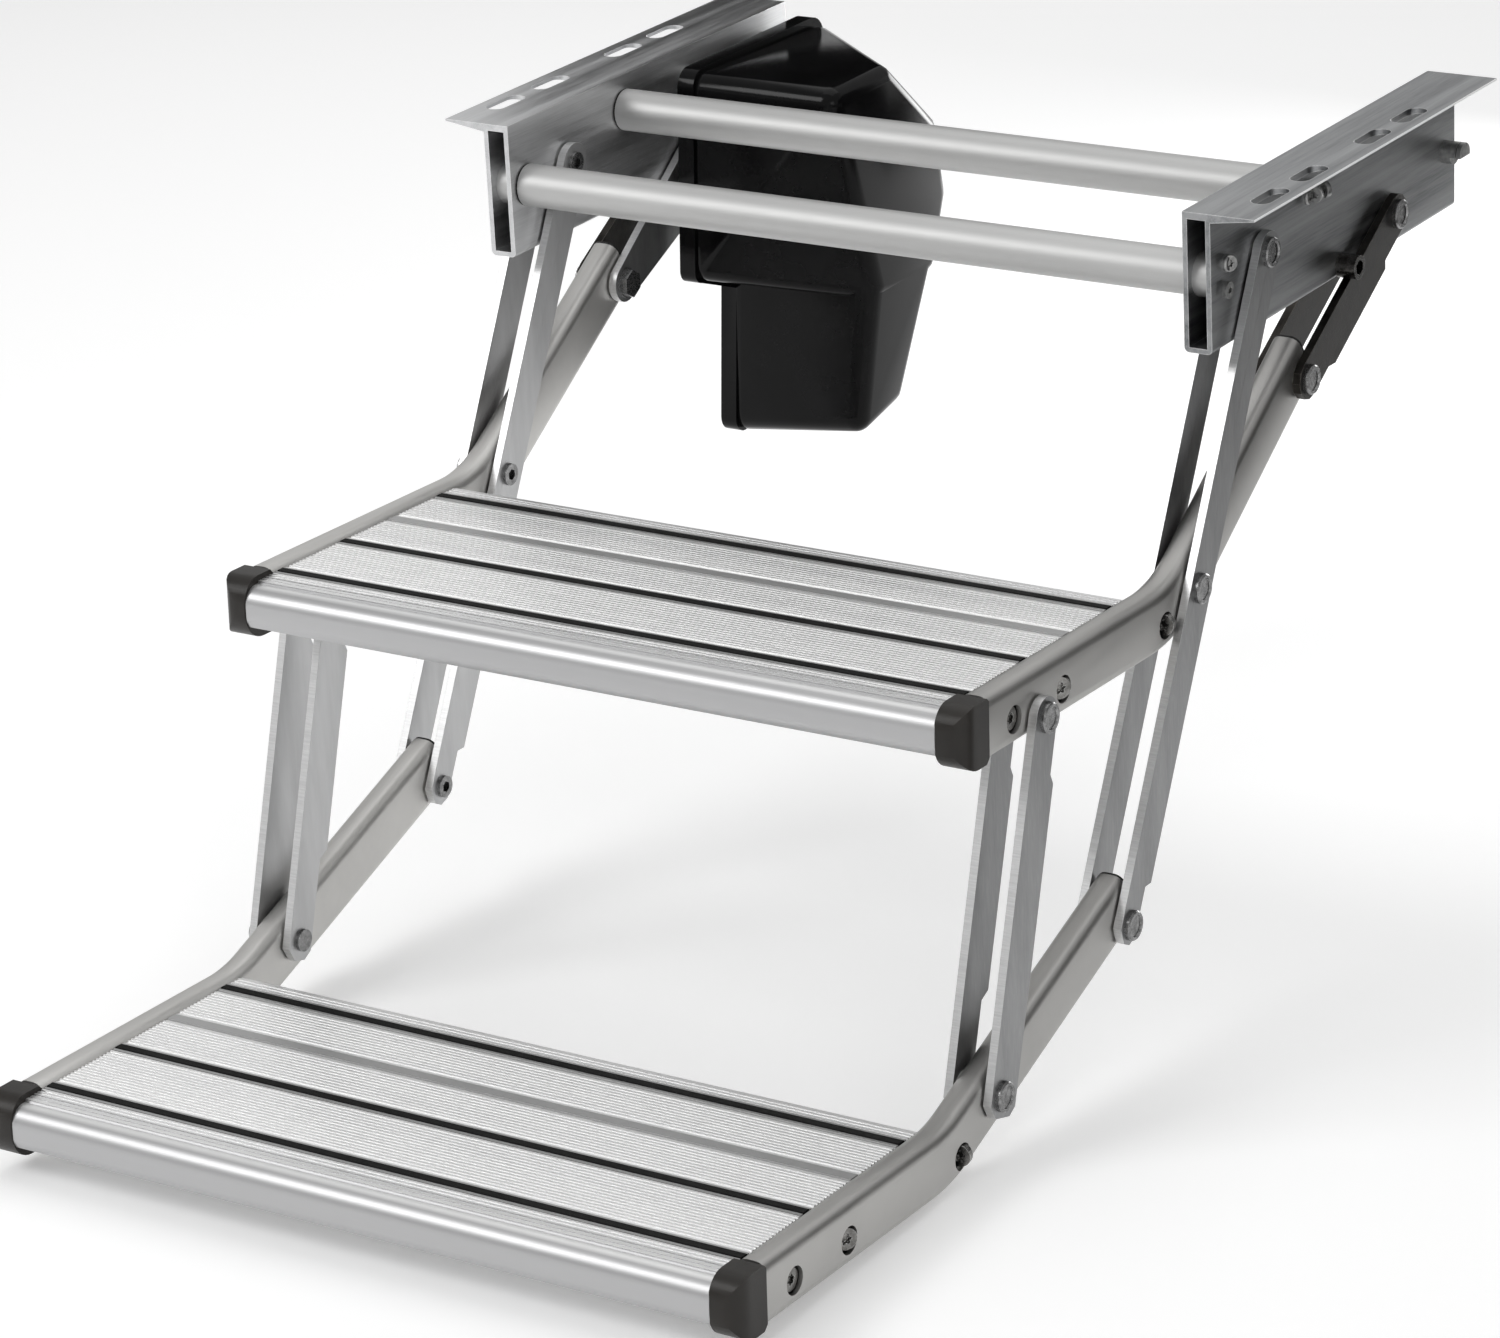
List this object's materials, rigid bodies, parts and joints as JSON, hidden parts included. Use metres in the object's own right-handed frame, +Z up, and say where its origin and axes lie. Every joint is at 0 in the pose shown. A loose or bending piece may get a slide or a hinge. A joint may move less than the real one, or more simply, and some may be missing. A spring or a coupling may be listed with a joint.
{
  "type": "folding caravan entry step",
  "caption": "Electric folding double entry step: two ribbed aluminium treads on a bar linkage under a pair of flanged mounting rails, with a motor box.",
  "frame": {"origin": "in the plane of the rail flanges' top faces, at the middle of the pattern of the mounting slots", "axes": "+X across the step, to the right of someone stepping in; +Y rearward, in under the vehicle; +Z up"},
  "size_m": [0.528, 0.833, 0.4441],
  "materials": {
    "rail_aluminium": "mill finish, drawn streaks",
    "tube_aluminium": "satin anodised",
    "arm_aluminium": "satin grey anodised",
    "bar_aluminium": "matte faces, bright sawn edges",
    "tread_aluminium": "fine ribbed, satin",
    "strip_rubber": "matte ribbed rubber",
    "dark_steel": "burnished dark brown",
    "pin_steel": "dark bright-rimmed heads",
    "screw_steel": "dull plated",
    "cap_plastic": "moulded dark brown-black",
    "plug_plastic": "moulded black",
    "washer_plastic": "plain nylon",
    "cover_plastic": "vacuum-formed gloss black",
    "gear_casting": "cast",
    "motor_steel": "black"
  },
  "bodies": {
    "frame": {"left_rail": "rail_aluminium", "right_rail": "rail_aluminium", "front_cross_tube": "tube_aluminium", "rear_cross_tube": "tube_aluminium", "tube_end_plugs": "tube_aluminium", "tube_screws": "screw_steel", "swing_pivot_pins": "pin_steel", "rear_pivot_pin": "pin_steel", "deploy_stops": "screw_steel", "stow_stops": "screw_steel", "motor_plate": "screw_steel", "motor_plate_bolts": "screw_steel", "gearbox": "gear_casting", "drive_motor": "motor_steel", "motor_cover": "cover_plastic", "cover_screws": "screw_steel"},
    "rear_links": {"drive_shaft": "pin_steel", "drive_lever": "bar_aluminium", "rear_link_inner_right": "dark_steel", "rear_link_left": "dark_steel", "rear_link_right": "dark_steel", "rear_link_bolts": "pin_steel", "rear_link_washers": "washer_plastic"},
    "swing_bars": {"swing_bar_outer_left": "bar_aluminium", "swing_bar_inner_left": "bar_aluminium", "swing_bar_inner_right": "bar_aluminium", "swing_bar_outer_right": "bar_aluminium", "swing_washers": "washer_plastic"},
    "upper_step": {"upper_arm_left": "arm_aluminium", "upper_arm_right": "arm_aluminium", "upper_tread": "tread_aluminium", "upper_tread_strips": "strip_rubber", "upper_nose_caps": "cap_plastic", "upper_tread_screws": "screw_steel", "upper_arm_plugs": "plug_plastic", "middle_pivot_pins": "pin_steel", "lower_link_pins": "pin_steel"},
    "lower_links": {"lower_link_outer_left": "bar_aluminium", "lower_link_inner_left": "bar_aluminium", "lower_link_inner_right": "bar_aluminium", "lower_link_outer_right": "bar_aluminium", "lower_link_rivets": "pin_steel", "lower_link_washers": "washer_plastic"},
    "lower_step": {"lower_arm_left": "arm_aluminium", "lower_arm_right": "arm_aluminium", "lower_tread": "tread_aluminium", "lower_tread_strips": "strip_rubber", "lower_nose_caps": "cap_plastic", "lower_tread_screws": "screw_steel", "lower_arm_plugs": "plug_plastic", "lower_pivot_pins": "pin_steel"}
  },
  "joints": [
    {"name": "swing", "type": "hinge", "parent": "frame", "child": "swing_bars", "pos_m": [0, -0.0728, -0.0365], "axis": [1, 0, 0], "range_deg": [0, 79.6]},
    {"name": "rear_link_turn", "type": "hinge", "parent": "frame", "child": "rear_links", "pos_m": [0, 0.0887, -0.0595], "axis": [1, 0, 0], "range_deg": [0, 137.94]},
    {"name": "upper_step_fold", "type": "hinge", "parent": "swing_bars", "child": "upper_step", "pos_m": [0, -0.16048, -0.2028], "axis": [1, 0, 0], "range_deg": [-85.51, 0]},
    {"name": "lower_step_fold", "type": "hinge", "parent": "swing_bars", "child": "lower_step", "pos_m": [0, -0.24783, -0.36848], "axis": [1, 0, 0], "range_deg": [-100.02, 0]},
    {"name": "lower_link_turn", "type": "hinge", "parent": "upper_step", "child": "lower_links", "pos_m": [0, -0.3329, -0.21554], "axis": [1, 0, 0], "range_deg": [0, 80.72]}
  ],
  "couplings": [
    {"joint": "rear_link_turn", "follows": "swing", "ratio": 1.7328},
    {"joint": "upper_step_fold", "follows": "swing", "ratio": -1.0741},
    {"joint": "lower_step_fold", "follows": "swing", "ratio": -1.2564},
    {"joint": "lower_link_turn", "follows": "swing", "ratio": 1.014}
  ]
}
